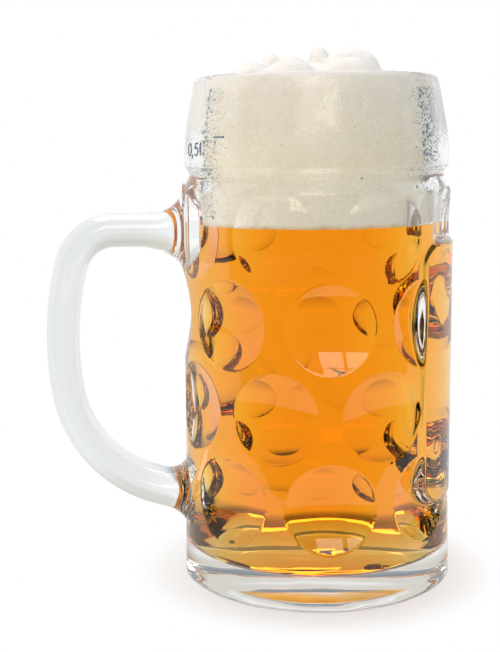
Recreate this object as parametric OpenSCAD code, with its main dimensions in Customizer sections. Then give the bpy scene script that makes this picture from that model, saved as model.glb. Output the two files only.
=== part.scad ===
// Half-litre beer mug of clear pressed glass, with rows of round dimples, a collar and a
// D-shaped handle, filled with lager under a head of foam that stands above the lip.
// It stands on z = 0 with its axis on Z and the handle towards -X. Lengths are millimetres.

/* [Mug] */
// height from the table to the lip
mug_h = 154; // [135:0.5:175]
// radius of the barrel
barrel_r = 41; // [37:0.1:48]
// glass between the barrel's face and the inside
wall_t = 5.8; // [5.3:0.1:8]
// glass between the table and the beer
floor_t = 9; // [7:0.5:14]
// fillet between the floor and the wall inside
floor_fillet = 3; // [1:0.5:8]

/* [Foot] */
// how far the foot stands out past the barrel
foot_flare = 1.05; // [0.5:0.05:2]
// rounding of the foot's bottom edge
foot_round = 1.2; // [0.5:0.1:2.5]
// height up to which the barrel's foot flares plainly
flare_h = 30; // [24:0.5:36]
// how far the barrel still stands out at that height
flare_rest = 0.3; // [0.1:0.05:0.5]
// width of the flat ring that the mug stands on
ring_w = 12.6; // [8:0.2:20]
// depth of the shallow hollow inside that ring
punt_depth = 2.5; // [1:0.1:4]

/* [Shoulder and collar] */
// height of the collar, from its lower edge to the lip
collar_h = 26.4; // [22:0.2:32]
// how far the collar's side lies inside the barrel's
collar_inset = 0.75; // [0.3:0.05:1.6]
// height over which the collar draws in to the lip
draw_in_h = 18.4; // [12:0.2:21]
// thickness of the lip
lip_t = 1.7; // [1.6:0.1:2.6]
// how far the lip's rounded top falls to its outer edge
lip_fall = 1.2; // [0.8:0.1:1.6]
// height of the groove between collar and shoulder
groove_h = 7; // [6:0.1:8]
// how far under the collar's edge the groove is deepest
groove_drop = 2; // [1.7:0.1:2.4]
// how far the groove's bottom lies inside the barrel
groove_inset = 2.55; // [2.2:0.05:3]
// how far the shoulder's edge lies inside the barrel
shoulder_inset = 0.1; // [0.05:0.05:1]
// height over which the barrel narrows up to the shoulder
taper_h = 45.6; // [30:0.2:60]

/* [Dimples] */
// rows of dimples
rows = 4; // [2:1:4]
// dimples round the mug in a row
around = 8; // [6:1:8]
// height of the lowest row's centre
row_z = 30.8; // [28:0.1:34]
// drop from the shoulder's edge to the centre of the top row
top_row_drop = 12.1; // [11.5:0.1:18]
// radius of a dimple, measured along the wall
dimple_r = 13.2; // [10:0.1:14]
// depth of a dimple at its centre
dimple_depth = 3.2; // [2.7:0.1:3.8]

/* [Plain panel] */
// half the width of the raised panel opposite the handle, which has no dimples
panel_half_w = 30.5; // [26:0.5:33]
// height of the panel's lower edge
panel_z = 27; // [22:0.5:36]
// drop from the shoulder's edge to the panel's upper edge
panel_drop = 14.8; // [10:0.2:24]
// how far the panel's face stands out past the barrel
panel_rise = 0.8; // [0.5:0.1:1.5]
// rounding of the panel's four corners
panel_corner = 7.5; // [4:0.5:12]

/* [Handle] */
// drop from the shoulder's edge to the centre line of the upper arm
arm_drop = 11.8; // [10.5:0.1:18]
// length of the straight upper arm from the barrel
arm_run = 20.9; // [16:0.1:26]
// radius of the upper bend
bend_r = 14; // [11:0.5:18]
// turn of the upper bend, degrees
bend_turn = 75; // [68:1:82]
// turn of the long curved grip, degrees
grip_turn = 24; // [18:1:30]
// radius of the lower bend
low_bend_r = 37.6; // [30:0.1:43]
// turn of the lower bend, degrees
low_bend_turn = 63; // [56:1:68]
// radius of the tail that runs back into the barrel
tail_r = 120; // [95:1:200]
// height of the tail's centre line where it ends in the glass
tail_z = 23.5; // [20:0.1:30]
// thickness of the upper arm, seen from the side
arm_t = 10.6; // [9:0.1:12.5]
// thickness of the grip, seen from the side
grip_t = 9.9; // [8:0.1:12]
// thickness at the end of the tail
tail_t = 12.1; // [9:0.1:15]
// width of the handle, across the hand
grip_w = 17; // [13:0.5:21]
// fillet over the upper arm's root
root_fillet = 8.5; // [5:0.5:10.5]
// fillet under the tail's root
tail_fillet = 6; // [4:0.5:7.5]
// fillet over the tail's root
crook_fillet = 7; // [4:0.5:8]
// fillet at the sides of the roots
side_fillet = 5.6; // [4:0.2:7]
// how much deeper the upper arm gets under its root
haunch_drop = 5.5; // [0:0.5:7]
// length of that deeper stretch
haunch_run = 14; // [8:0.5:18]

/* [Beer and foam] */
// height of the foam inside the glass, from the beer to the lip
head_h = 43.2; // [36:0.2:80]
// how far below the lip the foam meets the glass
foam_gap = 3.5; // [1:0.5:6]
// how far the highest lump of foam stands over the lip
foam_rise = 9.9; // [6:0.1:14]
// radius of the round place on which the foam is heaped in lumps
heap_r = 25; // [20:0.5:27]

/* [Hidden] */

// radii and heights that follow from the sizes above
bore_r = barrel_r - wall_t;
foot_r = barrel_r + foot_flare;
flare_r = barrel_r + flare_rest;
punt_r = foot_r - ring_w;
shoulder_r = barrel_r - shoulder_inset;
groove_r = barrel_r - groove_inset;
collar_r = barrel_r - collar_inset;
lip_r = bore_r + lip_t;
lip_top_r = bore_r + lip_t / 2;
collar_z = mug_h - collar_h;
draw_in_z = mug_h - draw_in_h;
groove_z = collar_z - groove_drop;
shoulder_z = collar_z - groove_h;
taper_z = shoulder_z - taper_h;
row_pitch = (shoulder_z - top_row_drop - row_z) / (rows - 1);
panel_top = shoulder_z - panel_drop;
panel_r = barrel_r + panel_rise;
arm_z = shoulder_z - arm_drop;
beer_z = mug_h - head_h;
foam_edge_z = mug_h - foam_gap;
crown_h = foam_gap + foam_rise;

// roundings of the outline's corners
shoulder_round = 4;
groove_round = 2;
collar_round = 1;
draw_in_round = 60;
flare_round = 400;
taper_round = 400;
lip_round = 1.2;
lip_top_round = 0.9;
lip_inner_round = 0.45;

overrun = 5;
dimple_skin = 0.5;
panel_depth = 1;

// the sweep of the handle starts this deep inside the barrel, and the barrel's form is cut from it
root_depth = 11.3;
root_u = barrel_r - root_depth;
section_power = 2.3;
section_points = 32;

// The lumps of foam, as [right, back, rise, half width, half depth]. The places and half sizes
// are shares of heap_r, and the rise is a share of crown_h.
lump_shares = [
    [-0.80, -0.16, 0.63, 0.27, 0.36], [-0.53, 0.12, 0.86, 0.16, 0.26], [-0.30, 0, 0.77, 0.22, 0.32],
    [0.06, 0.16, 1, 0.17, 0.27], [0.24, -0.20, 0.82, 0.20, 0.30], [0.42, 0.12, 0.965, 0.24, 0.36],
    [0.57, 0.04, 0.88, 0.25, 0.34], [0.84, 0, 0.45, 0.24, 0.34], [0, 0, 0.60, 0.96, 0.64],
    [0, 0, 0.37, 1.16, 1.10], [-0.36, -0.56, 0.63, 0.32, 0.28], [0.32, -0.60, 0.67, 0.36, 0.30],
    [-0.48, 0.56, 0.56, 0.36, 0.32], [0.28, 0.64, 0.53, 0.40, 0.32]
];
lump_power = 2.5;
lump_blend = 0.5;
crown_clear = 0.3;
crown_root = 2;
crown_tip_r = 0.5;
crown_rings = 26;
crown_points = 72;

glass = [0.93, 0.95, 0.95, 0.55];
lager = [0.92, 0.55, 0.10];
head = [0.95, 0.92, 0.84];

$fa = 4;
$fs = 0.8;

// points of the fillet of radius p[2] that replaces the corner p between its neighbours a and b
function fillet(a, p, b) =
    let(
        corner = [p[0], p[1]],
        to_a = [a[0], a[1]] - corner,
        to_b = [b[0], b[1]] - corner,
        ua = to_a / norm(to_a),
        ub = to_b / norm(to_b),
        half = acos(ua * ub) / 2,
        middle = (ua + ub) / norm(ua + ub),
        centre = corner + middle * p[2] / sin(half),
        from = corner + ua * p[2] / tan(half) - centre,
        to = corner + ub * p[2] / tan(half) - centre,
        start = atan2(from[1], from[0]),
        turn = atan2(from[0] * to[1] - from[1] * to[0], from * to),
        steps = max(2, ceil(abs(turn) / 15))
    )
    [for (i = [0:steps]) centre + p[2] * [cos(start + turn * i / steps), sin(start + turn * i / steps)]];

// an outline of [radius, height, rounding] corners with each rounding drawn
function rounded(p) =
    [for (i = [0:len(p) - 1])
        each p[i][2] == 0
            ? [[p[i][0], p[i][1]]]
            : fillet(p[(i + len(p) - 1) % len(p)], p[i], p[(i + 1) % len(p)])];

// the outside of the glass, from the table up to the lip
outside = [
    [0, 0, 0],
    [foot_r, 0, foot_round],
    [flare_r, flare_h, flare_round],
    [barrel_r, taper_z, taper_round],
    [shoulder_r, shoulder_z, shoulder_round],
    [groove_r, groove_z, groove_round],
    [collar_r, collar_z, collar_round],
    [collar_r, draw_in_z, draw_in_round],
    [lip_r, mug_h - lip_fall, lip_round],
    [lip_top_r, mug_h, lip_top_round]
];

// the inside, from the lip down to the middle of the floor
inside = [
    [bore_r, mug_h, lip_inner_round],
    [bore_r, floor_t, floor_fillet],
    [0, floor_t, 0]
];

// radius of the barrel's face at a height up to the shoulder
function face_r(z) =
    z < flare_h ? foot_r + (flare_r - foot_r) * z / flare_h
    : z < taper_z ? flare_r + (barrel_r - flare_r) * (z - flare_h) / (taper_z - flare_h)
    : barrel_r + (shoulder_r - barrel_r) * (z - taper_z) / (shoulder_z - taper_z);

// One dimple: part of a ring with a vertical axis, outside the mug. Its tube is round in the
// upright section and its rim in plan, so the dimple looks circular on the curved wall. Only
// a thin slice over the wall is kept, so that no two dimples meet.
module dimple_cutter(row, turn) {
    z = row_z + row * row_pitch;
    r = face_r(z);
    plan_half = r * sin(dimple_r / r * 180 / PI);
    plan_rise = dimple_depth - r * (1 - cos(dimple_r / r * 180 / PI));
    tube_r = (dimple_r * dimple_r + dimple_depth * dimple_depth) / (2 * dimple_depth);
    rim_r = (plan_half * plan_half + plan_rise * plan_rise) / (2 * plan_rise);
    swing = 2 * asin(plan_half / rim_r);
    rotate([0, 0, 180 + turn * 360 / around])
        translate([0, 0, z])
            intersection() {
                translate([r - dimple_depth + rim_r, 0, 0])
                    rotate([0, 0, 180 - swing])
                        rotate_extrude(angle = 2 * swing)
                            translate([rim_r - tube_r, 0])
                                intersection() {
                                    circle(r = tube_r);
                                    translate([0, -tube_r])
                                        square([tube_r, 2 * tube_r]);
                                }
                cylinder(r = r + dimple_skin, h = 2 * tube_r, center = true);
            }
}

// Every other row is turned by half a dimple. The lowest row has none under the handle's root.
module dimples() {
    for (row = [0:rows - 1], i = [0:around - 1])
        if (row > 0 || i > 0)
            dimple_cutter(row, i + (row % 2) / 2);
}

// the dimples that the handle's upper root runs into
module dimples_at_root() {
    for (row = [1:rows - 1], side = row % 2 == 1 ? [-1, 1] : [0])
        dimple_cutter(row, side / 2);
}

// the plain panel, a piece of a ring that stands a little proud and fills the dimples it covers
module panel() {
    intersection() {
        rotate_extrude()
            translate([barrel_r - dimple_depth - panel_depth, panel_z])
                square([panel_rise + dimple_depth + panel_depth, panel_top - panel_z]);
        rotate([90, 0, 90])
            linear_extrude(height = barrel_r + overrun)
                polygon(rounded([
                    [-panel_half_w, panel_z, panel_corner],
                    [panel_half_w, panel_z, panel_corner],
                    [panel_half_w, panel_top, panel_corner],
                    [-panel_half_w, panel_top, panel_corner]
                ]));
    }
}

// the shallow hollow underneath, part of a large ball
module punt() {
    ball_r = (punt_r * punt_r + punt_depth * punt_depth) / (2 * punt_depth);
    translate([0, 0, punt_depth - ball_r])
        intersection() {
            sphere(r = ball_r, $fa = 2);
            translate([0, 0, ball_r])
                cylinder(r = punt_r + overrun, h = 4 * punt_depth, center = true);
        }
}

module vessel() {
    color(glass)
        union() {
            difference() {
                rotate_extrude()
                    polygon(rounded(concat(outside, inside)));
                dimples();
                punt();
            }
            panel();
        }
}

// Places along the handle's centre line as [distance from the axis, height, heading]. The
// heading is 0 outwards and grows as the line turns down and back to the barrel.
function arc_line(from, r, turn, steps) =
    [for (i = [1:steps])
        let(h = from[2] + turn * i / steps)
        [from[0] + r * (sin(h) - sin(from[2])), from[1] + r * (cos(h) - cos(from[2])), h]];

// The arm, the two bends and the tail take their sizes as given, and the long grip between them
// gets the radius with which the tail ends at its height. The second try corrects the first for
// the little that the grip's radius moves the tail sideways.
arm_end = [barrel_r + arm_run, arm_z, 0];
grip_from = bend_turn;
grip_to = grip_from + grip_turn;
tail_from = grip_to + low_bend_turn;
grip_share = cos(grip_from) - cos(grip_to);

function tail_end(r) =
    let(tail_x = arm_end[0] + bend_r * sin(grip_from) + r * (sin(grip_to) - sin(grip_from))
        + low_bend_r * (sin(tail_from) - sin(grip_to)))
    180 - asin(sin(tail_from) + (root_u - tail_x) / tail_r);

function drop_left(r) =
    arm_z - tail_z - bend_r * (1 - cos(grip_from)) - r * grip_share
    - low_bend_r * (cos(grip_to) - cos(tail_from)) - tail_r * (cos(tail_from) - cos(tail_end(r)));

first_r = drop_left(0) / grip_share;
grip_r = first_r + drop_left(first_r) / grip_share;

arm_line = [for (share = [0:0.05:1]) [root_u + (arm_end[0] - root_u) * share, arm_z, 0]];
bend_line = arc_line(arm_end, bend_r, bend_turn, 12);
grip_line = arc_line(bend_line[11], grip_r, grip_turn, 6);
low_line = arc_line(grip_line[5], low_bend_r, low_bend_turn, 12);
tail_line = arc_line(low_line[11], tail_r, tail_end(grip_r) - tail_from, 18);
handle_line = concat(arm_line, bend_line, grip_line, low_line, tail_line);

// how far a fillet stands off the handle at a distance from the barrel's face
function flare(gap, r) =
    gap >= r ? 0 : r - sqrt(r * r - pow(r - max(gap, 0), 2));

// The same over or under the slanted tail, whose edge stands nearer to the barrel or further off
// than the centre line, by lean times its distance from that line.
function side_flare(gap, lean, half_t, r) =
    let(first = flare(gap + lean * half_t, r))
    flare(gap + lean * (half_t + first), r);

// how much the upper arm's underside drops on its way to the barrel
function haunch(gap) = gap >= haunch_run ? 0 : haunch_drop * pow(1 - max(gap, 0) / haunch_run, 2);

// One oval section of the handle, [out of the loop, into the loop, across] half sizes, at a place p.
function section(p) =
    let(
        gap = p[0] - face_r(p[1]),
        upper = p[2] < 90,
        arm_share = max(0, cos(p[2])),
        tail_share = pow(max(0, p[2] - grip_to) / (180 - grip_to), 2),
        half_t = (grip_t + (arm_t - grip_t) * arm_share + (tail_t - grip_t) * tail_share) / 2,
        side = barrel_r - sqrt(pow(barrel_r, 2) - pow((grip_w + side_fillet) / 2, 2)),
        lean = upper ? 0 : sin(p[2]),
        out = half_t + side_flare(gap, lean, half_t, upper ? root_fillet : tail_fillet),
        in = half_t + (upper ? haunch(gap) : 0)
            + side_flare(gap, -lean, half_t, upper ? root_fillet / 3 : crook_fillet),
        across = grip_w / 2 + flare(gap + side, side_fillet)
    )
    [for (i = [0:section_points - 1])
        let(
            a = 360 * i / section_points,
            c = sign(cos(a)) * pow(abs(cos(a)), 2 / section_power),
            s = sign(sin(a)) * pow(abs(sin(a)), 2 / section_power),
            t = c * (c > 0 ? out : in)
        )
        [-p[0] - t * sin(p[2]), s * across, p[1] + t * cos(p[2])]];

// a closed skin over a row of sections with the same number of points
module loft(sections) {
    n = len(sections[0]);
    last = len(sections) - 1;
    polyhedron(
        points = [for (s = sections) each s],
        faces = concat(
            [[for (i = [0:n - 1]) i]],
            [for (k = [0:last - 1], i = [0:n - 1], half = [0, 1])
                let(a = k * n + i, b = k * n + (i + 1) % n)
                half == 0 ? [a, a + n, b] : [b, a + n, b + n]],
            [[for (i = [0:n - 1]) last * n + n - 1 - i]]
        )
    );
}

// The handle is fused to the barrel, so it ends on the barrel's dimpled face.
module handle() {
    color(glass)
        difference() {
            loft([for (p = handle_line) section(p)]);
            difference() {
                rotate_extrude()
                    polygon(rounded(concat(outside, [[0, mug_h, 0]])));
                dimples_at_root();
            }
        }
}

module beer() {
    color(lager)
        rotate_extrude()
            polygon(rounded([
                [0, floor_t, 0],
                [bore_r, floor_t, floor_fillet],
                [bore_r, beer_z, 0],
                [0, beer_z, 0]
            ]));
}

// how far one lump stands over the foam's edge at a place
function lump_rise(x, y, l) =
    crown_h * l[2] * sqrt(max(0, 1
        - pow(abs(x / heap_r - l[0]) / l[3], lump_power)
        - pow(abs(y / heap_r - l[1]) / l[4], lump_power)));

// height of the foam's top at a place: a low dome up to the lip's height, and the lumps that
// stand out of it, all of them smoothly joined
function crown_z(x, y) =
    let(
        dome = foam_gap * (1 - pow(norm([x, y]) / bore_r, 4)),
        shares = [for (l = lump_shares) exp(lump_rise(x, y, l) / lump_blend) - 1]
    )
    foam_edge_z + lump_blend * ln(exp(dome / lump_blend) + shares * [for (l = lump_shares) 1]);

function crown_ring(r) =
    [for (i = [0:crown_points - 1])
        let(a = 360 * i / crown_points) [r * cos(a), r * sin(a), crown_z(r * cos(a), r * sin(a))]];

function flat_ring(r, z) =
    [for (i = [0:crown_points - 1]) let(a = 360 * i / crown_points) [r * cos(a), r * sin(a), z]];

// The head fills the glass nearly up to the lip, and its crown stands over it in soft lumps.
module foam() {
    crown_r = bore_r - crown_clear;
    color(head)
        union() {
            rotate_extrude()
                polygon([[0, beer_z], [bore_r, beer_z], [bore_r, foam_edge_z], [0, foam_edge_z]]);
            loft(concat(
                [flat_ring(crown_r, foam_edge_z - crown_root)],
                [for (k = [0:crown_rings - 1]) crown_ring(crown_r * (1 - k / crown_rings))],
                [flat_ring(crown_tip_r, crown_z(0, 0))]
            ));
        }
}

vessel();
handle();
beer();
foam();
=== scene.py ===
import math

import bmesh
import bpy
import numpy as np
from mathutils import Matrix, Vector, noise


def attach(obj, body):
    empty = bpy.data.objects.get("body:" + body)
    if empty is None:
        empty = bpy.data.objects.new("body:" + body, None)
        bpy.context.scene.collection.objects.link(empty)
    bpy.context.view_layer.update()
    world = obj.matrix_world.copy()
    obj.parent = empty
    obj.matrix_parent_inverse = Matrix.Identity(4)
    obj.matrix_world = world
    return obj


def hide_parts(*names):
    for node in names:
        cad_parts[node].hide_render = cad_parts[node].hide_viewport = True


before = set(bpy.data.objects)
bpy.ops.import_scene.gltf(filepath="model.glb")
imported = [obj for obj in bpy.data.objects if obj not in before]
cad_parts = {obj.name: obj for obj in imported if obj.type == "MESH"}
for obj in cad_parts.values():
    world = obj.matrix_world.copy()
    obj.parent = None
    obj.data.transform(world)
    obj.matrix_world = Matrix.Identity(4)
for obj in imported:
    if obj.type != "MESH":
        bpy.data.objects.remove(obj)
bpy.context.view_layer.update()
MM = 0.001

# The pressed glass body. Soda-lime glass dropped hot into an iron mould and pressed by a plunger,
# so the inside is smooth and straight and the outside carries the form: foot, four rows of round
# dimples, shoulder, groove, and a collar that draws in to a fire-polished lip.

mug_height = 154 * MM
bore_radius = 35.2 * MM
floor_thickness, floor_fillet = 9 * MM, 3 * MM
beer_height = 110.8 * MM

foot_radius, foot_ring, foot_round = 42.05 * MM, 4 * MM, 1.2 * MM
flare_radius, flare_height = 41.3 * MM, 30 * MM
barrel_radius, taper_height, barrel_sweep = 41 * MM, 75 * MM, 400 * MM
shoulder_radius, shoulder_height, shoulder_round = 40.9 * MM, 120.6 * MM, 4 * MM
groove_radius, groove_height, groove_round = 38.45 * MM, 125.6 * MM, 2 * MM
collar_radius, collar_height, collar_round = 40.25 * MM, 127.6 * MM, 1 * MM
draw_in_height, draw_in_sweep = 135.6 * MM, 60 * MM
lip_radius, lip_fall, lip_round = 36.9 * MM, 1.2 * MM, 1.2 * MM
lip_top_radius, lip_top_round, lip_inner_round = 36.05 * MM, 0.9 * MM, 0.45 * MM
lip_inner_depth = 3 * MM
punt_radius, punt_depth = 29.45 * MM, 2.5 * MM

dimple_rows, dimples_around = 4, 8
lowest_row, row_pitch = 30.8 * MM, 25.9 * MM
dimple_radius, dimple_depth = 13.2 * MM, 3.2 * MM
dimple_edge = 0.21 * MM  # how softly the mould's edge is rounded, with a trace of a raised lip

panel_half_width, panel_low, panel_high = 30.5 * MM, 27 * MM, 105.8 * MM
panel_radius, panel_corner, panel_edge = 41.8 * MM, 7.5 * MM, 2.2 * MM

# How fine the mesh is: steps along the outlines, and points around.
outside_arc_step, outside_step, inside_step = 0.25 * MM, 0.6 * MM, 2 * MM
near_axis, underside_start, underside_rings = 2 * MM, 1 * MM, 24
glass_around = 540
hair = 0.01 * MM  # heights that differ by less count as the same


def rounded(corners, step=0.5 * MM):
    """An outline of (radius, height, rounding) corners, each rounding drawn as an arc of short steps."""
    befores, afters = [corners[0]] + corners[:-1], corners[1:] + [corners[-1]]
    points = []
    for before, (x, z, rounding), after in zip(befores, corners, afters):
        if not rounding:
            points.append((x, z))
            continue
        here = Vector((x, z))
        to_before, to_after = (Vector(side[:2]) - here for side in (before, after))
        half = to_before.angle(to_after) / 2
        middle = (to_before.normalized() + to_after.normalized()).normalized()
        centre = here + middle * (rounding / math.sin(half))
        start = here + to_before.normalized() * (rounding / math.tan(half)) - centre
        turn = (math.pi - 2 * half) * (1 if to_before.cross(to_after) < 0 else -1)
        count = max(4, math.ceil(abs(turn) * rounding / step))
        for i in range(count + 1):
            points.append(tuple(centre + Matrix.Rotation(turn * i / count, 2) @ start))
    return points


def evenly(points, step):
    """The same line with points no further apart than step."""
    line = [points[0]]
    for (x0, z0), (x1, z1) in zip(points, points[1:]):
        parts = max(1, math.ceil(math.hypot(x1 - x0, z1 - z0) / step))
        line += [(x0 + (x1 - x0) * i / parts, z0 + (z1 - z0) * i / parts) for i in range(1, parts + 1)]
    return line


def dimple_dent(angle, height):
    """How deep the dimples press into the barrel at angles from the handle and heights."""
    dent = np.zeros(np.broadcast(angle, height).shape)
    bowl = (dimple_radius**2 + dimple_depth**2) / (2 * dimple_depth)
    for row in range(dimple_rows):
        for place in range(dimples_around):
            if row == 0 and place == 0:
                continue  # the handle's lower root stands here
            turn = (place + row % 2 / 2) * 2 * math.pi / dimples_around
            along = barrel_radius * ((angle - turn + math.pi) % (2 * math.pi) - math.pi)
            off = np.minimum(along**2 + (height - lowest_row - row * row_pitch) ** 2, bowl**2)
            sag = np.sqrt(bowl**2 - off) - (bowl - dimple_depth)
            dent += (sag + np.sqrt(sag**2 + dimple_edge**2)) / 2
            dent -= dimple_edge**2 / (4 * np.abs(sag) + dimple_edge)
    return dent


def panel_share(angle, height):
    """1 on the plain panel opposite the handle, 0 beside it, and between them over its soft edge."""
    across = np.where(np.cos(angle) < 0, barrel_radius * np.sin(angle), 1.0)
    off_side = np.abs(across) - panel_half_width + panel_corner
    off_end = np.abs(height - (panel_low + panel_high) / 2) - (panel_high - panel_low) / 2 + panel_corner
    outside = np.hypot(np.maximum(off_side, 0), np.maximum(off_end, 0)) - panel_corner
    share = np.clip(0.5 - outside / panel_edge, 0, 1)
    return share * share * (3 - 2 * share)


def add_mesh(name, points, faces, materials=(), material_of=None):
    """A new smooth mesh object of these points and faces, and which of its materials each face has."""
    mesh = bpy.data.meshes.new(name)
    mesh.from_pydata(np.asarray(points).reshape(-1, 3).tolist(), [], faces)
    mesh.polygons.foreach_set("use_smooth", [True] * len(mesh.polygons))
    for material in materials:
        mesh.materials.append(material)
    if material_of is not None:
        mesh.polygons.foreach_set("material_index", np.asarray(material_of, dtype=np.int32))
    thing = bpy.data.objects.new(name, mesh)
    bpy.context.scene.collection.objects.link(thing)
    return thing


def wrap(rings, around, first=0):
    """Faces between closed rings of points, one ring after the other, that look away from the axis
    where the rings climb and the points run anticlockwise."""
    return [
        (first + k * around + i, first + k * around + (i + 1) % around,
         first + (k + 1) * around + (i + 1) % around, first + (k + 1) * around + i)
        for k in range(rings - 1) for i in range(around)
    ]


def ends(rings, around, low, high, first=0):
    """Faces that close the first ring around the point low, and the last one around the point high."""
    last = first + (rings - 1) * around
    below = [(low, first + (i + 1) % around, first + i) for i in range(around)]
    return below + [(high, last + i, last + (i + 1) % around) for i in range(around)]


def linear(hex_colour):
    """An sRGB hex colour as the linear RGBA that Blender's sockets take."""
    parts = [int(hex_colour[i:i + 2], 16) / 255 for i in (1, 3, 5)]
    return [c / 12.92 if c <= 0.04045 else ((c + 0.055) / 1.055) ** 2.4 for c in parts] + [1.0]


def add(tree, kind, sockets=None, **settings):
    """Adds a node, sets its settings, and sets or links its sockets."""
    node = tree.nodes.new(kind)
    for name, value in settings.items():
        setattr(node, name, value)
    for name, value in (sockets or {}).items():
        if isinstance(value, bpy.types.NodeSocket):
            tree.links.new(value, node.inputs[name])
        else:
            node.inputs[name].default_value = value
    return node


def new_material(name):
    """An empty node material and its tree."""
    material = bpy.data.materials.new(name)
    material.use_nodes = True
    material.node_tree.nodes.clear()
    return material, material.node_tree


def let_light_in(tree, shader, tint):
    """Glass that lamps and the light between matt surfaces pass straight, so what it holds is lit evenly."""
    path = add(tree, "ShaderNodeLightPath")
    clear = add(tree, "ShaderNodeBsdfTransparent", {"Color": tint}).outputs[0]
    for ray in ("Is Diffuse Ray", "Is Shadow Ray"):
        shader = add(tree, "ShaderNodeMixShader", {0: path.outputs[ray], 1: shader, 2: clear}).outputs[0]
    return shader


# Pressed soda-lime glass: refractive index 1.52, skin as smooth as the polished mould, with the
# long ripple that chilled glass keeps. It bends what stands behind it and mirrors softly, and the
# thick handle shows a trace of grey.
glass_index, lager_index = 1.52, 1.34
ripple_length, ripple_height = 15 * MM, 0.2 * MM
glass_tint, thick_tint, clear_tint = linear("#F9FAFB"), linear("#ECEFEF"), linear("#F8F8F8")
untinted = linear("#FFFFFF")
grip_near, grip_far = -44 * MM, -56 * MM


def rippled(tree, place, times=1.0):
    """The glass's long ripple, as a bump."""
    ripple = add(tree, "ShaderNodeTexNoise", {"Vector": place, "Scale": 1 / ripple_length, "Detail": 1.0})
    return add(tree, "ShaderNodeBump", {
        "Height": ripple.outputs[0], "Distance": ripple_height * times, "Strength": 1.0,
    })


pressed_glass, tree = new_material("soda_lime_glass_pressed")
place = add(tree, "ShaderNodeTexCoord").outputs["Object"]
spot = add(tree, "ShaderNodeSeparateXYZ", {0: place})
thickness = add(tree, "ShaderNodeMapRange", {
    "Value": spot.outputs["X"], "From Min": grip_near, "From Max": grip_far,
})
tinted = add(tree, "ShaderNodeMix", {
    0: thickness.outputs[0], 6: glass_tint, 7: thick_tint,
}, data_type="RGBA")
glass = add(tree, "ShaderNodeBsdfPrincipled", {
    "Base Color": tinted.outputs[2], "Roughness": 0.0, "IOR": glass_index, "Transmission Weight": 1.0,
    "Normal": rippled(tree, place).outputs[0],
})
add(tree, "ShaderNodeOutputMaterial", {"Surface": let_light_in(tree, glass.outputs[0], clear_tint)})

# The same glass misted over at the collar, where warm air meets the cold head. A film of the finest
# drops dulls it in patches in front. At the sides, where the eye meets it at a slant, a milky white film
# is laid on, partly the mist and partly a painted sheen of those slanted edges. The drops are drawn as
# coarse as they need to be to show.
mist_drop, mist_height, mist_patch = 0.6 * MM, 0.025 * MM, 9 * MM
dullest, dull_near, dull_far = 0.28, 24 * MM, 33 * MM
milkiest, milk_near, milk_far = 0.6, 30 * MM, 37 * MM
milk_low, milk_high = collar_height + 7 * MM, collar_height + 12 * MM
mist_and_sheen_white = linear("#F2F4F6")

misted_glass, tree = new_material("soda_lime_glass_misted")
place = add(tree, "ShaderNodeTexCoord").outputs["Object"]
spot = add(tree, "ShaderNodeSeparateXYZ", {0: place})
aside = add(tree, "ShaderNodeMath", {0: spot.outputs["X"]}, operation="ABSOLUTE")
drops = add(tree, "ShaderNodeTexVoronoi", {"Vector": place, "Scale": 1 / mist_drop})
beaded = add(tree, "ShaderNodeBump", {
    "Height": drops.outputs["Distance"], "Distance": mist_height, "Strength": 1.0,
    "Normal": rippled(tree, place, times=3.0).outputs[0],
}, invert=True)
patches = add(tree, "ShaderNodeTexNoise", {"Vector": place, "Scale": 1 / mist_patch, "Detail": 3.0})
in_front = add(tree, "ShaderNodeMapRange", {
    "Value": aside.outputs[0], "From Min": dull_near, "From Max": dull_far, "To Min": dullest, "To Max": 0.0,
})
dulled = add(tree, "ShaderNodeMapRange", {
    "Value": patches.outputs[0], "From Min": 0.38, "From Max": 0.52, "To Max": in_front.outputs[0],
})
glass = add(tree, "ShaderNodeBsdfPrincipled", {
    "Base Color": glass_tint, "Roughness": dulled.outputs[0], "IOR": glass_index,
    "Transmission Weight": 1.0, "Normal": beaded.outputs[0],
})
# Painted sheen: a lit and glowing white film, laid on only at the collar's sides, partly mist and partly
# painted sheen.
lit_film = add(tree, "ShaderNodeBsdfDiffuse", {"Color": mist_and_sheen_white})
glowing_film = add(tree, "ShaderNodeBsdfTranslucent", {"Color": mist_and_sheen_white})
milky = add(tree, "ShaderNodeMixShader", {0: 0.5, 1: lit_film.outputs[0], 2: glowing_film.outputs[0]})
painted_sheen_at_sides = add(tree, "ShaderNodeMapRange", {
    "Value": aside.outputs[0], "From Min": milk_near, "From Max": milk_far, "To Max": milkiest,
}, interpolation_type="SMOOTHSTEP")
haze = add(tree, "ShaderNodeMapRange", {
    "Value": spot.outputs["Z"], "From Min": milk_low, "From Max": milk_high, "To Max": painted_sheen_at_sides.outputs[0],
}, interpolation_type="SMOOTHSTEP")
hazy = add(tree, "ShaderNodeMixShader", {0: haze.outputs[0], 1: glass.outputs[0], 2: milky.outputs[0]})
add(tree, "ShaderNodeOutputMaterial", {"Surface": let_light_in(tree, hazy.outputs[0], clear_tint)})

# The same glass where lager wets it: light meets only the step from 1.52 down to the beer's 1.34,
# so the wall all but vanishes there.
wetted_glass, tree = new_material("soda_lime_glass_wetted")
glass = add(tree, "ShaderNodeBsdfPrincipled", {
    "Base Color": untinted, "Roughness": 0.0, "IOR": glass_index / lager_index, "Transmission Weight": 1.0,
})
add(tree, "ShaderNodeOutputMaterial", {"Surface": let_light_in(tree, glass.outputs[0], untinted)})

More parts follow.
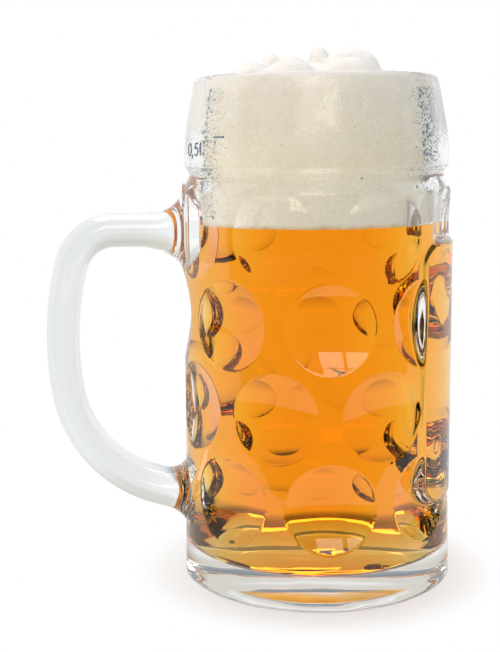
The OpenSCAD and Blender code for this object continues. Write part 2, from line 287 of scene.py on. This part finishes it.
# The outline from the middle of the underside, up the outside, over the lip and down the inside.
punt_ball = (punt_radius**2 + punt_depth**2) / (2 * punt_depth)
underside_line = [
    (r, punt_depth - punt_ball + math.sqrt(punt_ball**2 - r**2))
    for r in np.linspace(underside_start, punt_radius, underside_rings)
]
outside_line = evenly(rounded([
    (foot_radius - foot_ring, 0, 0),
    (foot_radius, 0, foot_round),
    (flare_radius, flare_height, barrel_sweep),
    (barrel_radius, taper_height, barrel_sweep),
    (shoulder_radius, shoulder_height, shoulder_round),
    (groove_radius, groove_height, groove_round),
    (collar_radius, collar_height, collar_round),
    (collar_radius, draw_in_height, draw_in_sweep),
    (lip_radius, mug_height - lip_fall, lip_round),
    (lip_top_radius, mug_height, lip_top_round),
    (bore_radius, mug_height, lip_inner_round),
    (bore_radius, mug_height - lip_inner_depth, 0),
], outside_arc_step), outside_step)
inside_line = evenly(rounded([
    (bore_radius, mug_height - lip_inner_depth, 0),
    (bore_radius, beer_height, 0),
    (bore_radius, floor_thickness, floor_fillet),
    (near_axis, floor_thickness, 0),
]), inside_step)
glass_line = underside_line + outside_line + inside_line[1:]

# The outline turned into a body, with the dimples and the panel pressed into the barrel's part.
rings = len(glass_line)
outer = slice(len(underside_line), len(underside_line) + len(outside_line))
inner = slice(-len(inside_line), None)
angles = np.arange(glass_around) * 2 * math.pi / glass_around
radii = np.array([r for r, _ in glass_line])[:, None]
heights = np.array([z for _, z in glass_line])[:, None]
on_barrel = np.zeros((rings, 1), bool)
on_barrel[outer] = (heights[outer] > flare_height / 4) & (heights[outer] < shoulder_height + 1 * MM)
dimpled = radii - dimple_dent(angles[None, :], heights) * on_barrel
panel = panel_share(angles[None, :], heights) * on_barrel
glass_radii = dimpled + (panel_radius - dimpled) * panel
glass_points = np.stack([
    -glass_radii * np.cos(angles), -glass_radii * np.sin(angles), heights + 0 * angles
], axis=-1).reshape(-1, 3)
low, high = len(glass_points), len(glass_points) + 1
glass_points = np.vstack([glass_points, [[0, 0, punt_depth]], [[0, 0, floor_thickness]]])
glass_faces = wrap(rings, glass_around) + ends(rings, glass_around, low, high)

# Which glass each face is: wetted below the top of the lager inside, misted above the shoulder.
skins = [pressed_glass, wetted_glass, misted_glass]
pressed, wetted, misted = range(len(skins))
ring_heights = np.maximum(heights[:-1, 0], heights[1:, 0])
ring_skin = np.full(rings - 1, pressed)
ring_skin[inner][ring_heights[inner] < beer_height + hair] = wetted
ring_skin[outer][ring_heights[outer] > shoulder_height] = misted
face_skin = list(np.repeat(ring_skin, glass_around)) + [pressed] * glass_around + [wetted] * glass_around
mug_glass = add_mesh("mug_glass", glass_points, glass_faces, skins, face_skin)


# The handle. In the real mug it is pressed with the body, so the two are one piece of glass: the
# loop's oval section grows into fillets at both roots, and is joined to the barrel here.

arm_height, arm_run = 108.8 * MM, 20.9 * MM
bends = [(14 * MM, 75), (96.5 * MM, 24), (37.6 * MM, 63)]  # their radius and their turn in degrees
tail_bend = 120 * MM
arm_thick, grip_thick, tail_thick, grip_wide = 10.6 * MM, 9.86 * MM, 12.1 * MM, 17 * MM
root_fillet, tail_fillet, crook_fillet, side_fillet = 8.5 * MM, 6 * MM, 7 * MM, 5.6 * MM
haunch_drop, haunch_run = 5.5 * MM, 14 * MM
root_start = bore_radius + 0.7 * MM
oval_power, oval_points = 2.3, 72
root_step, loop_step = 0.5 * MM, 1 * MM


def arc(start, radius, turn, step):
    """Places (distance from the axis, height, heading) along an arc that starts at a place."""
    x, z, heading = start
    count = math.ceil(radius * math.radians(turn) / step)
    return [
        (x + radius * (math.sin(h) - math.sin(heading)), z + radius * (math.cos(h) - math.cos(heading)), h)
        for h in heading + np.radians(turn) * np.arange(1, count + 1) / count
    ]


def flare(gap, radius):
    """How far a fillet stands off the handle at a distance from the barrel."""
    gap = max(gap, 0)
    return 0 if gap >= radius else radius - math.sqrt(radius**2 - (radius - gap) ** 2)


def side_flare(gap, lean, thick, radius):
    """The same on a side of the slanted tail, whose edge is nearer to the barrel or further off."""
    first = flare(gap + lean * thick, radius)
    return flare(gap + lean * (thick + first), radius)


arm_end = barrel_radius + arm_run
handle_line = [(u, arm_height, 0.0) for u in np.arange(root_start, arm_end, root_step)]
handle_line += [(arm_end, arm_height, 0.0)]
for radius, turn in bends:
    handle_line += arc(handle_line[-1], radius, turn, loop_step)
x, z, heading = handle_line[-1]
tail_lean = math.asin(math.sin(heading) + (root_start - x) / tail_bend)
tail_turn = 180 - math.degrees(tail_lean) - math.degrees(heading)
handle_line += arc(handle_line[-1], tail_bend, tail_turn, root_step)

handle_points = []
grip_heading = math.radians(sum(turn for _, turn in bends[:2]))
for u, z, heading in handle_line:
    gap, upper = u - barrel_radius, heading < math.pi / 2
    tail_share = (max(0, heading - grip_heading) / (math.pi - grip_heading)) ** 2
    thick = grip_thick + (arm_thick - grip_thick) * max(0, math.cos(heading))
    thick = (thick + (tail_thick - grip_thick) * tail_share) / 2
    side_gap = gap + barrel_radius - math.sqrt(barrel_radius**2 - ((grip_wide + side_fillet) / 2) ** 2)
    haunch = haunch_drop * max(0, 1 - max(gap, 0) / haunch_run) ** 2 if upper else 0
    lean = 0 if upper else math.sin(heading)
    outward = thick + side_flare(gap, lean, thick, root_fillet if upper else tail_fillet)
    inward = thick + haunch + side_flare(gap, -lean, thick, root_fillet / 3 if upper else crook_fillet)
    across = grip_wide / 2 + flare(side_gap, side_fillet)
    for a in np.arange(oval_points) * 2 * math.pi / oval_points:
        c = math.copysign(abs(math.cos(a)) ** (2 / oval_power), math.cos(a))
        s = math.copysign(abs(math.sin(a)) ** (2 / oval_power), math.sin(a))
        t = c * (outward if c > 0 else inward)
        handle_points.append((-u - t * math.sin(heading), s * across, z + t * math.cos(heading)))
last_oval = (len(handle_line) - 1) * oval_points
handle_faces = wrap(len(handle_line), oval_points)
handle_faces += [tuple(range(oval_points))[::-1], tuple(range(last_oval, last_oval + oval_points))]
loop = add_mesh("handle_loop", handle_points, handle_faces, [pressed_glass])

fuse = mug_glass.modifiers.new("fuse", "BOOLEAN")
fuse.operation, fuse.object, fuse.solver = "UNION", loop, "MANIFOLD"
fused = bpy.data.meshes.new_from_object(mug_glass.evaluated_get(bpy.context.evaluated_depsgraph_get()))
mug_glass.modifiers.clear()
mug_glass.data = fused
bpy.data.objects.remove(loop)
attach(mug_glass, "root")
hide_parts("vessel", "handle")


# The lager. It fills the glass up to the foam and clings to the wall, so its body is the inside of
# the glass a hair smaller, rounded at the bottom as the floor is.

lager_gap, lager_around = 0.02 * MM, 180
lager_line = evenly(rounded([
    (near_axis, floor_thickness + lager_gap, 0),
    (bore_radius - lager_gap, floor_thickness + lager_gap, floor_fillet),
    (bore_radius - lager_gap, beer_height, 0),
    (near_axis, beer_height, 0),
]), inside_step)
turn = np.arange(lager_around) * 2 * math.pi / lager_around
lager_points = [(r * math.cos(a), r * math.sin(a), z) for r, z in lager_line for a in turn]
low, high = len(lager_points), len(lager_points) + 1
lager_points += [(0, 0, floor_thickness + lager_gap), (0, 0, beer_height)]
lager_faces = wrap(len(lager_line), lager_around) + ends(len(lager_line), lager_around, low, high)

# Lager: clear malt amber whose colour comes only from its depth. Light that crosses the whole mug
# turns deep orange, and where the way is short it stays straw yellow.
lager, tree = new_material("lager_clear_amber")
wet = add(tree, "ShaderNodeBsdfPrincipled", {
    "Base Color": untinted, "Roughness": 0.0, "IOR": 1.0, "Transmission Weight": 1.0,
})
depth = add(tree, "ShaderNodeVolumeAbsorption", {"Color": linear("#FFE31E"), "Density": 74.1})
add(tree, "ShaderNodeOutputMaterial", {
    "Surface": let_light_in(tree, wet.outputs[0], untinted), "Volume": depth.outputs[0],
})

beer = add_mesh("lager", lager_points, lager_faces, [lager])
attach(beer, "root")
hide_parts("beer")


# The head. Poured lager foam, dense and creamy, that fills the collar up to just below the lip and
# stands over it in soft whipped mounds. It lies against the wall with a thin film of air between.

wall_film, foam_dip = 0.2 * MM, 0.2 * MM  # the air beside it, and how far it dips into the lager
foam_radius, foam_bottom = bore_radius - wall_film, beer_height - foam_dip
foam_edge_height = 150.5 * MM
foam_around, foam_step, bottom_rings, top_rings, innermost = 420, 0.6 * MM, 12, 75, 0.004
crown_rise, heap_radius = 13.39 * MM, 25 * MM
dome_fall, dome_power = 0.45, 12
# the lumps: [to the right, to the back, rise, half width, half depth], shares of radius and rise
lump_shares = np.array([
    [-0.80, -0.16, 0.63, 0.27, 0.36], [-0.53, 0.12, 0.86, 0.16, 0.26], [-0.30, 0, 0.77, 0.22, 0.32],
    [0.06, 0.16, 1, 0.17, 0.27], [0.24, -0.20, 0.82, 0.20, 0.30], [0.42, 0.12, 0.965, 0.24, 0.36],
    [0.57, 0.04, 0.88, 0.25, 0.34], [0.84, 0, 0.45, 0.24, 0.34], [0, 0, 0.60, 0.96, 0.64],
    [0, 0, 0.37, 1.16, 1.10], [-0.36, -0.56, 0.63, 0.32, 0.28], [0.32, -0.60, 0.67, 0.36, 0.30],
    [-0.48, 0.56, 0.56, 0.36, 0.32], [0.28, 0.64, 0.53, 0.40, 0.32],
])
lump_blend, lump_power = 1.2 * MM, 2.5
hollows = [(5 * MM, 0.45 * MM), (1.7 * MM, 0.2 * MM)]  # their width and depth
hollow_power = 8


def crown_height(x, y):
    """Height of the foam's top at a place: a low dome and the lumps that stand out of it, joined softly."""
    edge = np.clip(np.hypot(x, y) / bore_radius, 0, 1)
    dome = (mug_height - foam_edge_height) * (1 - dome_fall * edge**dome_power)
    total = np.exp(dome / lump_blend)
    for right, back, rise, half_width, half_depth in lump_shares:
        off = (np.abs(x / heap_radius - right) / half_width) ** lump_power
        off = off + (np.abs(y / heap_radius - back) / half_depth) ** lump_power
        total = total + np.exp(crown_rise * rise * np.sqrt(np.clip(1 - off, 0, 1)) / lump_blend) - 1
    return foam_edge_height + lump_blend * np.log(total)


def whipped(x, y, z):
    """The foam's top with soft hollows of two sizes pressed into it, so that no lump is a clean dome."""
    sunk = np.zeros(len(x))
    for width, depth in hollows:
        sunk += depth * (1 + np.array([noise.noise(Vector(spot) / width) for spot in zip(x, y, z)]))
    return z - sunk * (1 - (np.hypot(x, y) / bore_radius) ** hollow_power)


foam_line = [(r, foam_bottom) for r in np.linspace(near_axis, bore_radius - near_axis, bottom_rings)]
foam_line += [(foam_radius, z) for z in np.arange(foam_bottom, foam_edge_height, foam_step)]
turn = np.arange(foam_around) * 2 * math.pi / foam_around
foam_points = [(r * math.cos(a), r * math.sin(a), z) for r, z in foam_line for a in turn]
for share in np.linspace(1, innermost, top_rings):
    x, y = foam_radius * share * np.cos(turn), foam_radius * share * np.sin(turn)
    foam_points += list(zip(x, y, whipped(x, y, crown_height(x, y))))
foam_rings = len(foam_line) + top_rings
low, high = len(foam_points), len(foam_points) + 1
foam_points += [(0, 0, foam_bottom), (0, 0, foam_points[-1][2])]
foam_faces = wrap(foam_rings, foam_around) + ends(foam_rings, foam_around, low, high)

# Beer foam: bubbles too small to tell apart, so it is matt, milky and a little translucent, cream
# white where fresh and warmer low down, where beer still runs between the bubbles. The bubbles are
# drawn as coarse as the largest ones, so that they show, and painted shade darkens the foam between them.
bubble_size, bubble_bump = 0.7 * MM, 0.03 * MM
curd_size, curd_bump, curd_rise = 5 * MM, 0.6 * MM, 1.6 * MM
spot_size, soaked_depth, glow_depth = 2.6 * MM, 1.2 * MM, 3 * MM
most_spotted, least_spotted = 0.5, 0.1
foam_spot, foam_shade = linear("#E9D6A4"), linear("#D3CBB8")
# from the lager up to the lip: share of the height, colour
tones = [
    (0.0, "#A8702F"),
    (0.016, "#CDB587"),
    (0.034, "#E6E0D1"),
    (0.12, "#EBE4D3"),
    (0.4, "#F0E6CF"),
    (0.9, "#F5EDE3"),
    (1.0, "#F4F0EF"),
]

foam_cream, tree = new_material("beer_foam_creamy")
place = add(tree, "ShaderNodeTexCoord").outputs["Object"]
bubbles = add(tree, "ShaderNodeTexVoronoi", {"Vector": place, "Scale": 1 / bubble_size})
curds = add(tree, "ShaderNodeTexNoise", {"Vector": place, "Scale": 1 / curd_size, "Detail": 4.0})
fine = add(tree, "ShaderNodeBump", {
    "Height": bubbles.outputs["Distance"], "Distance": bubble_bump, "Strength": 1.0,
})
coarse = add(tree, "ShaderNodeBump", {
    "Height": curds.outputs[0], "Distance": curd_bump, "Strength": 1.0, "Normal": fine.outputs[0],
})
spot = add(tree, "ShaderNodeSeparateXYZ", {0: place})
uneven = add(tree, "ShaderNodeMath", {0: curds.outputs[0], 1: curd_rise}, operation="MULTIPLY")
above_beer = add(tree, "ShaderNodeMath", {0: spot.outputs["Z"], 1: uneven.outputs[0]}, operation="SUBTRACT")
tone = add(tree, "ShaderNodeMapRange", {
    "Value": above_beer.outputs[0], "From Min": beer_height - soaked_depth, "From Max": mug_height,
})
soaked = add(tree, "ShaderNodeValToRGB", {0: tone.outputs[0]})
for at, _ in tones[1:-1]:
    soaked.color_ramp.elements.new(at)
for stop, (at, hex_colour) in zip(soaked.color_ramp.elements, tones):
    stop.position, stop.color = at, linear(hex_colour)
coarseness = add(tree, "ShaderNodeMapRange", {
    "Value": tone.outputs[0], "From Min": 0.85, "From Max": 1.0,
    "To Min": most_spotted, "To Max": least_spotted,
})
patchy = add(tree, "ShaderNodeTexNoise", {"Vector": place, "Scale": 1 / spot_size, "Detail": 2.0})
spots = add(tree, "ShaderNodeMapRange", {
    "Value": patchy.outputs[0], "From Min": 0.6, "From Max": 0.75, "To Max": coarseness.outputs[0],
})
# Painted shade: the foam turns darker towards the edge of each bubble, most low down.
painted_bubble_shade = add(tree, "ShaderNodeMapRange", {
    "Value": bubbles.outputs["Distance"], "From Max": 0.7, "To Max": coarseness.outputs[0],
})
colour = add(tree, "ShaderNodeMix", {
    0: spots.outputs[0], 6: soaked.outputs[0], 7: foam_spot,
}, data_type="RGBA")
colour = add(tree, "ShaderNodeMix", {
    0: painted_bubble_shade.outputs[0], 6: colour.outputs[2], 7: foam_shade,
}, data_type="RGBA")
foam = add(tree, "ShaderNodeBsdfPrincipled", {
    "Base Color": colour.outputs[2], "Roughness": 0.6, "Subsurface Weight": 0.6,
    "Subsurface Radius": (1.0, 0.85, 0.7), "Subsurface Scale": glow_depth, "Normal": coarse.outputs[0],
})
add(tree, "ShaderNodeOutputMaterial", {"Surface": foam.outputs[0]})

head = add_mesh("foam_head", foam_points, foam_faces, [foam_cream])
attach(head, "root")
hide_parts("foam")


# The capacity mark: "0,5 l" and the fill line beside it, raised in the glass of the collar by the
# mould. Each stroke is a low round ridge of the same glass.

mark_way, mark_height = math.radians(-164.5), 130.9 * MM
mark_wide, mark_tall = 10 * MM, 3.9 * MM
stroke_half, stroke_lift = 0.3 * MM, 0.3 * MM
# across a ridge, from side to side: share of its half width, share of its lift
ridge_shares = [(-1, -0.2), (-0.7, 0.7), (0, 1), (0.7, 0.7), (1, -0.2)]
# the fill line's points, in the same millimetres as the strokes
line_start, line_step, line_points, line_high = 15.4, 0.45, 11, 5.4

skin_heights = np.array([z for _, z in outside_line])
skin_radii = np.array([r for r, _ in outside_line])


def on_skin(angle, height):
    """The place on the glass's outside at an angle and a height."""
    radius = float(np.interp(height, skin_heights, skin_radii))
    if height < shoulder_height:
        radius -= float(dimple_dent(np.array(angle - math.pi), np.array(height)))
    return Vector((radius * math.cos(angle), radius * math.sin(angle), height))


def curve(centre, across, up, start, end, count=14):
    """Points on an ellipse from one angle to another, in the mark's plane."""
    turns = np.radians(np.linspace(start, end, count))
    return [(centre[0] + across * math.cos(a), centre[1] + up * math.sin(a)) for a in turns]


# The strokes as lines of points, in millimetres to the right of the mark's start and up from its
# foot: nought, comma, five, letter l, fill line.
strokes = [
    curve((1.1, 1.95), 1.4, 1.75, 0, 360, 25),
    [(3.7, 0.5), (3.6, 0.0), (3.3, -0.6)],
    [(7.1, 3.7), (6.3, 3.7), (5.6, 3.7), (5.5, 2.9), (5.4, 2.1)] + curve((6.2, 1.35), 1.1, 1.15, 130, -140),
    [(9.0, 3.8), (9.0, 2.6), (9.0, 1.4), (9.0, 0.2)],
    [(line_start + line_step * k, line_high) for k in range(line_points)],
]
mark_points, mark_faces = [], []
ridge_count = len(ridge_shares)
for stroke in strokes:
    first = len(mark_points)
    middles = [on_skin(mark_way + x * MM / collar_radius, mark_height + y * MM) for x, y in stroke]
    for k, centre in enumerate(middles):
        along = (middles[min(k + 1, len(middles) - 1)] - middles[max(k - 1, 0)]).normalized()
        out = Vector((centre.x, centre.y, 0)).normalized()
        side = along.cross(out)
        for across, lift in ridge_shares:
            mark_points.append(centre + side * across * stroke_half + out * lift * stroke_lift)
    last = len(mark_points)
    mark_faces += wrap(len(stroke), ridge_count, first)
    mark_faces += [tuple(range(first, first + ridge_count))[::-1], tuple(range(last - ridge_count, last))]

# The same glass in the thin ridges, with painted blue-grey shade in its colour, where the ridges seen edge
# on bend the light away.
relief_glass_painted_shade, tree = new_material("soda_lime_glass_relief_painted_shade")
place = add(tree, "ShaderNodeTexCoord").outputs["Object"]
glass = add(tree, "ShaderNodeBsdfPrincipled", {
    "Base Color": linear("#8DA0B2"), "Roughness": 0.0, "IOR": glass_index, "Transmission Weight": 1.0,
    "Normal": rippled(tree, place, times=0.5).outputs[0],
})
add(tree, "ShaderNodeOutputMaterial", {"Surface": let_light_in(tree, glass.outputs[0], clear_tint)})

mark = add_mesh("capacity_mark", mark_points, mark_faces, [relief_glass_painted_shade])
ridges = bmesh.new()
ridges.from_mesh(mark.data)
bmesh.ops.recalc_face_normals(ridges, faces=ridges.faces)
ridges.to_mesh(mark.data)
ridges.free()
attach(mark, "root")


# The dew: beads of water that the cold glass draws from the air, on the collar and the shoulder
# around the head. They are scattered by chance, each a shallow dome that sits in the glass's skin,
# and they gather in upright runs to the left and to the right of the front.

bead_high = 150 * MM
# each run: [its way and its spread in degrees, its foot and the beads' half width in millimetres,
# the beads tried]
bead_runs = [
    (-149, 0.8, 125, 0.42, 90), (-44, 1.0, 129, 0.5, 120), (-39.5, 2.2, 129, 0.24, 280),
    (-147, 4, 113, 0.13, 900), (-42, 4.5, 121, 0.13, 1000), (0, 100, 113, 0.07, 600),
]
wide_spread, wide_reach = 90, 1.8
size_spread, largest_bead, bead_space = 0.35, 0.65 * MM, 1.08
bead_root, bead_probe, longest_bead = 0.04 * MM, 0.4 * MM, 1.25
# up a bead, from its edge: how wide it is and how far it stands out, as shares of its half width
bead_shares, bead_top_share = [(0.94, 0.2), (0.6, 0.46)], 0.56
bead_sides = 9
rng = np.random.default_rng(11)

bead_points, bead_faces = [], []
# the largest drop, to which the loop adds the others that find room: way, height, half width
beads = np.array([[math.radians(-43), 138.7 * MM, 0.85 * MM]])
for way, spread, foot, half_width, tries in bead_runs:
    for _ in range(tries):
        even = spread > wide_spread
        aside = rng.uniform(-wide_reach, wide_reach) if even else rng.standard_normal()
        size = min(half_width * MM * math.exp(size_spread * rng.standard_normal()), largest_bead)
        bead = np.array([math.radians(way + spread * aside), rng.uniform(foot * MM, bead_high), size])
        off = np.hypot(collar_radius * (beads[:, 0] - bead[0]), beads[:, 1] - bead[1])
        beside = abs((bead[0] - mark_way) * collar_radius - mark_wide / 2) < mark_wide / 2 + size
        on_mark = beside and abs(bead[1] - mark_height - mark_tall / 2) < mark_tall
        if not on_mark and np.all(off > bead_space * (beads[:, 2] + size)):
            beads = np.vstack([beads, bead])
for angle, height, size in beads.tolist():
    centre = on_skin(angle, height)
    slope = (on_skin(angle, height + bead_probe) - on_skin(angle, height - bead_probe)).normalized()
    side = Vector((-math.sin(angle), math.cos(angle), 0))
    out = side.cross(slope)
    stretch = rng.uniform(1.0, longest_bead)
    first = len(bead_points)
    levels = [(1.0, -bead_root)] + [(share, rise * size) for share, rise in bead_shares]
    for share, lift in levels:
        for k in range(bead_sides):
            a = 2 * math.pi * k / bead_sides
            flat = side * (math.cos(a) * share * size) + slope * (math.sin(a) * share * size * stretch)
            bead_points.append(centre + flat + out * lift)
    low, high = len(bead_points), len(bead_points) + 1
    bead_points += [centre - out * bead_root, centre + out * bead_top_share * size]
    bead_faces += wrap(len(levels), bead_sides, first) + ends(len(levels), bead_sides, low, high, first)

# Water: clear, refractive index 1.34, and a little uneven. In the small beads it bends the dim side of the
# room into view, and a painted slate-blue reflection of that room is added in the water's colour.
water_index, shiver_size, shiver_height = 1.34, 0.8 * MM, 0.01 * MM
water, tree = new_material("water_beads_painted_reflection")
place = add(tree, "ShaderNodeTexCoord").outputs["Object"]
shiver = add(tree, "ShaderNodeTexNoise", {"Vector": place, "Scale": 1 / shiver_size})
uneven = add(tree, "ShaderNodeBump", {
    "Height": shiver.outputs[0], "Distance": shiver_height, "Strength": 1.0,
})
drop = add(tree, "ShaderNodeBsdfPrincipled", {
    "Base Color": linear("#A9B8C6"), "Roughness": 0.0, "IOR": water_index, "Transmission Weight": 1.0,
    "Normal": uneven.outputs[0],
})
add(tree, "ShaderNodeOutputMaterial", {"Surface": let_light_in(tree, drop.outputs[0], untinted)})

dew = add_mesh("dew_beads", bead_points, bead_faces, [water])
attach(dew, "root")


# The studio: a pale floor that runs out to white, and the lamps. None of it is part of the mug.

# The floor is white paper that runs out to the white behind the mug. In front it ends a little way
# off and the room begins, which the camera never sees but the glass mirrors. Through the glass the
# paper under the mug looks cool and dim, as it lies in the foot's shade.
floor_reach, floor_drop = 3000 * MM, 0.05 * MM
shadow_near, shadow_far, shadow_white = 41 * MM, 60 * MM, 0.5
shade_near, shade_far = 40 * MM, 75 * MM
paper_reach, paper_end = 128 * MM, 4 * MM
room_dark, room_bent = linear("#4A423B"), linear("#9C9084")
mirrored_white = 0.85

floor_material, tree = new_material("paper_floor_matt")
path = add(tree, "ShaderNodeLightPath")
place = add(tree, "ShaderNodeTexCoord").outputs["Object"]
spot = add(tree, "ShaderNodeSeparateXYZ", {0: place})
reach = add(tree, "ShaderNodeVectorMath", {0: place}, operation="LENGTH")
fade = add(tree, "ShaderNodeMapRange", {
    "Value": reach.outputs["Value"], "From Min": shadow_near, "From Max": shadow_far, "To Min": shadow_white,
}, interpolation_type="SMOOTHSTEP")
off_foot = add(tree, "ShaderNodeMapRange", {
    "Value": reach.outputs["Value"], "From Min": shade_near, "From Max": shade_far,
}, interpolation_type="SMOOTHSTEP")
to_front = add(tree, "ShaderNodeMapRange", {
    "Value": spot.outputs["Y"], "From Min": -paper_reach - paper_end, "From Max": -paper_reach,
    "To Min": 1.0, "To Max": 0.0,
})
paper = add(tree, "ShaderNodeBsdfDiffuse", {"Color": linear("#F2F2F2")})
white = add(tree, "ShaderNodeEmission", {"Strength": 1.0})
dimmer_white = add(tree, "ShaderNodeEmission", {"Strength": mirrored_white})
cool_shade = add(tree, "ShaderNodeEmission", {"Color": linear("#78828A"), "Strength": 1.0})
room = add(tree, "ShaderNodeEmission", {"Color": room_dark, "Strength": 1.0})
room_through = add(tree, "ShaderNodeEmission", {"Color": room_bent, "Strength": 1.0})
shown = add(tree, "ShaderNodeMixShader", {0: fade.outputs[0], 1: paper.outputs[0], 2: white.outputs[0]})
mirrored = add(tree, "ShaderNodeMixShader", {
    0: to_front.outputs[0], 1: dimmer_white.outputs[0], 2: room.outputs[0],
})
through = add(tree, "ShaderNodeMixShader", {
    0: off_foot.outputs[0], 1: cool_shade.outputs[0], 2: white.outputs[0],
})
through = add(tree, "ShaderNodeMixShader", {
    0: to_front.outputs[0], 1: through.outputs[0], 2: room_through.outputs[0],
})
# A ray that glass bends counts as a mirrored one too, so its mix comes after that of mirrored rays.
surface = shown
for ray, seen in (("Is Glossy Ray", mirrored), ("Is Transmission Ray", through), ("Is Diffuse Ray", paper)):
    surface = add(tree, "ShaderNodeMixShader", {
        0: path.outputs[ray], 1: surface.outputs[0], 2: seen.outputs[0],
    })
add(tree, "ShaderNodeOutputMaterial", {"Surface": surface.outputs[0]})
floor = add_mesh("floor", [
    (x * floor_reach, y * floor_reach, -floor_drop) for x, y in ((-1, -1), (1, -1), (1, 1), (-1, 1))
], [(0, 1, 2, 3)], [floor_material])


def area_lamp(name, place, aim, width, height, power, colour="#FFFFFF"):
    """A soft rectangular lamp at a place, turned to what it lights."""
    data = bpy.data.lights.new(name, "AREA")
    data.shape, data.size, data.size_y, data.energy = "RECTANGLE", width, height, power
    data.color = linear(colour)[:3]
    lamp = bpy.data.objects.new(name, data)
    bpy.context.scene.collection.objects.link(lamp)
    lamp.location = place
    lamp.rotation_euler = (Vector(aim) - Vector(place)).to_track_quat("-Z", "Y").to_euler()
    return lamp


# The key light is a tall window with bars, behind and above the camera. Lengths are metres.
window_way, window_off = math.radians(-94), 1.5
window_wide, window_low, window_high, window_bar = 0.86, 0.5, 1.65, 0.035
pane_columns, pane_rows, window_power = 3, 2, 10.0
pane_wide = (window_wide - window_bar * (pane_columns - 1)) / pane_columns
pane_high = (window_high - window_low - window_bar * (pane_rows - 1)) / pane_rows
pane_power = window_power / pane_columns / pane_rows
outward = Vector((math.cos(window_way), math.sin(window_way), 0))
sideways = Vector((-outward.y, outward.x, 0))
for column in range(pane_columns):
    for row in range(pane_rows):
        aside = (column - (pane_columns - 1) / 2) * (pane_wide + window_bar)
        above = window_low + pane_high / 2 + row * (pane_high + window_bar)
        at = outward * window_off + sideways * aside + Vector((0, 0, above))
        area_lamp("window", at, at - outward, pane_wide, pane_high, pane_power, "#FFF8E8")

middle = (0, 0, mug_height / 2)
left = area_lamp("left", (-1.3, -0.3, 0.5), middle, width=1.6, height=1.6, power=7.0, colour="#FFF3E6")
left.visible_glossy = False  # it only fills: the glass shows the window and the white behind
area_lamp("top", (0.0, 0.5, 1.4), middle, width=1.2, height=1.2, power=10.0)

# The surroundings: white behind the mug, a little dimmer high up where only the glass shows it, and
# a dim room on the camera's side and to the right, with a paler ceiling.
white_sky, high_sky = linear("#FFFFFF"), linear("#DCD9D0")
ceiling_mirrored, ceiling_bent = linear("#7A736A"), linear("#BDB5A8")
warm_light, cool_light = linear("#C3BDB4"), linear("#8B9CA9")
away_from_room = (-0.3, 0.95, 0.0)

world = bpy.data.worlds.new("studio")
bpy.context.scene.world = world
world.use_nodes = True
tree = world.node_tree
tree.nodes.clear()
path = add(tree, "ShaderNodeLightPath")
bent = path.outputs["Is Transmission Ray"]
compass = add(tree, "ShaderNodeTexCoord").outputs["Generated"]
way = add(tree, "ShaderNodeSeparateXYZ", {0: compass})
off_room = add(tree, "ShaderNodeVectorMath", {0: compass, 1: away_from_room}, operation="DOT_PRODUCT")
behind = add(tree, "ShaderNodeMapRange", {
    "Value": off_room.outputs["Value"], "From Min": -0.1, "From Max": 0.35,
}, interpolation_type="SMOOTHSTEP")
high = add(tree, "ShaderNodeMapRange", {"Value": way.outputs["Z"], "From Min": 0.03, "From Max": 0.3})
overhead = add(tree, "ShaderNodeMapRange", {"Value": way.outputs["Z"], "From Min": 0.1, "From Max": 0.35})
high_bent = add(tree, "ShaderNodeMath", {0: high.outputs[0], 1: bent}, operation="MULTIPLY")
sky = add(tree, "ShaderNodeMix", {0: high_bent.outputs[0], 6: white_sky, 7: high_sky}, data_type="RGBA")
walls = add(tree, "ShaderNodeMix", {0: bent, 6: room_dark, 7: room_bent}, data_type="RGBA")
ceiling = add(tree, "ShaderNodeMix", {0: bent, 6: ceiling_mirrored, 7: ceiling_bent}, data_type="RGBA")
room = add(tree, "ShaderNodeMix", {
    0: overhead.outputs[0], 6: walls.outputs[2], 7: ceiling.outputs[2],
}, data_type="RGBA")
around = add(tree, "ShaderNodeMix", {
    0: behind.outputs[0], 6: room.outputs[2], 7: sky.outputs[2],
}, data_type="RGBA")
shown = add(tree, "ShaderNodeMix", {
    0: path.outputs["Is Camera Ray"], 6: around.outputs[2], 7: white_sky,
}, data_type="RGBA")

# The light it sheds on matt surfaces, warm from the left and cool from the right.
rightward = add(tree, "ShaderNodeMapRange", {"Value": way.outputs["X"], "From Min": -1.0, "From Max": 1.0})
soft_light = add(tree, "ShaderNodeMix", {
    0: rightward.outputs[0], 6: warm_light, 7: cool_light,
}, data_type="RGBA")
seen = path.outputs["Is Camera Ray"]
for ray in ("Is Glossy Ray", "Is Transmission Ray"):
    seen = add(tree, "ShaderNodeMath", {0: seen, 1: path.outputs[ray]}, operation="MAXIMUM").outputs[0]
colour = add(tree, "ShaderNodeMix", {
    0: seen, 6: soft_light.outputs[2], 7: shown.outputs[2],
}, data_type="RGBA")
air = add(tree, "ShaderNodeBackground", {"Color": colour.outputs[2], "Strength": 1.0})
add(tree, "ShaderNodeOutputWorld", {"Surface": air.outputs[0]})

bpy.context.scene.view_settings.view_transform = "Standard"
# Light may bounce this often in the glass: fewer times leave black corners, and more times light up
# the brown ones.
cycles = bpy.context.scene.cycles
cycles.max_bounces = cycles.transmission_bounces = cycles.glossy_bounces = 14

# The camera stands a little below the lip's height and looks slightly down, with the handle to the left.
camera = bpy.data.objects.new("camera", bpy.data.cameras.new("camera"))
bpy.context.scene.collection.objects.link(camera)
camera.location = (-38.7 * MM, -362.1 * MM, 134.4 * MM)
turned, raised, rolled = math.radians(-2.85), math.radians(81.177), math.radians(-0.572)
camera.rotation_euler = (
    Matrix.Rotation(turned, 3, "Z") @ Matrix.Rotation(raised, 3, "X") @ Matrix.Rotation(rolled, 3, "Z")
).to_euler()
camera.data.lens = 64.86
camera.data.clip_start = 10 * MM
bpy.context.scene.camera = camera
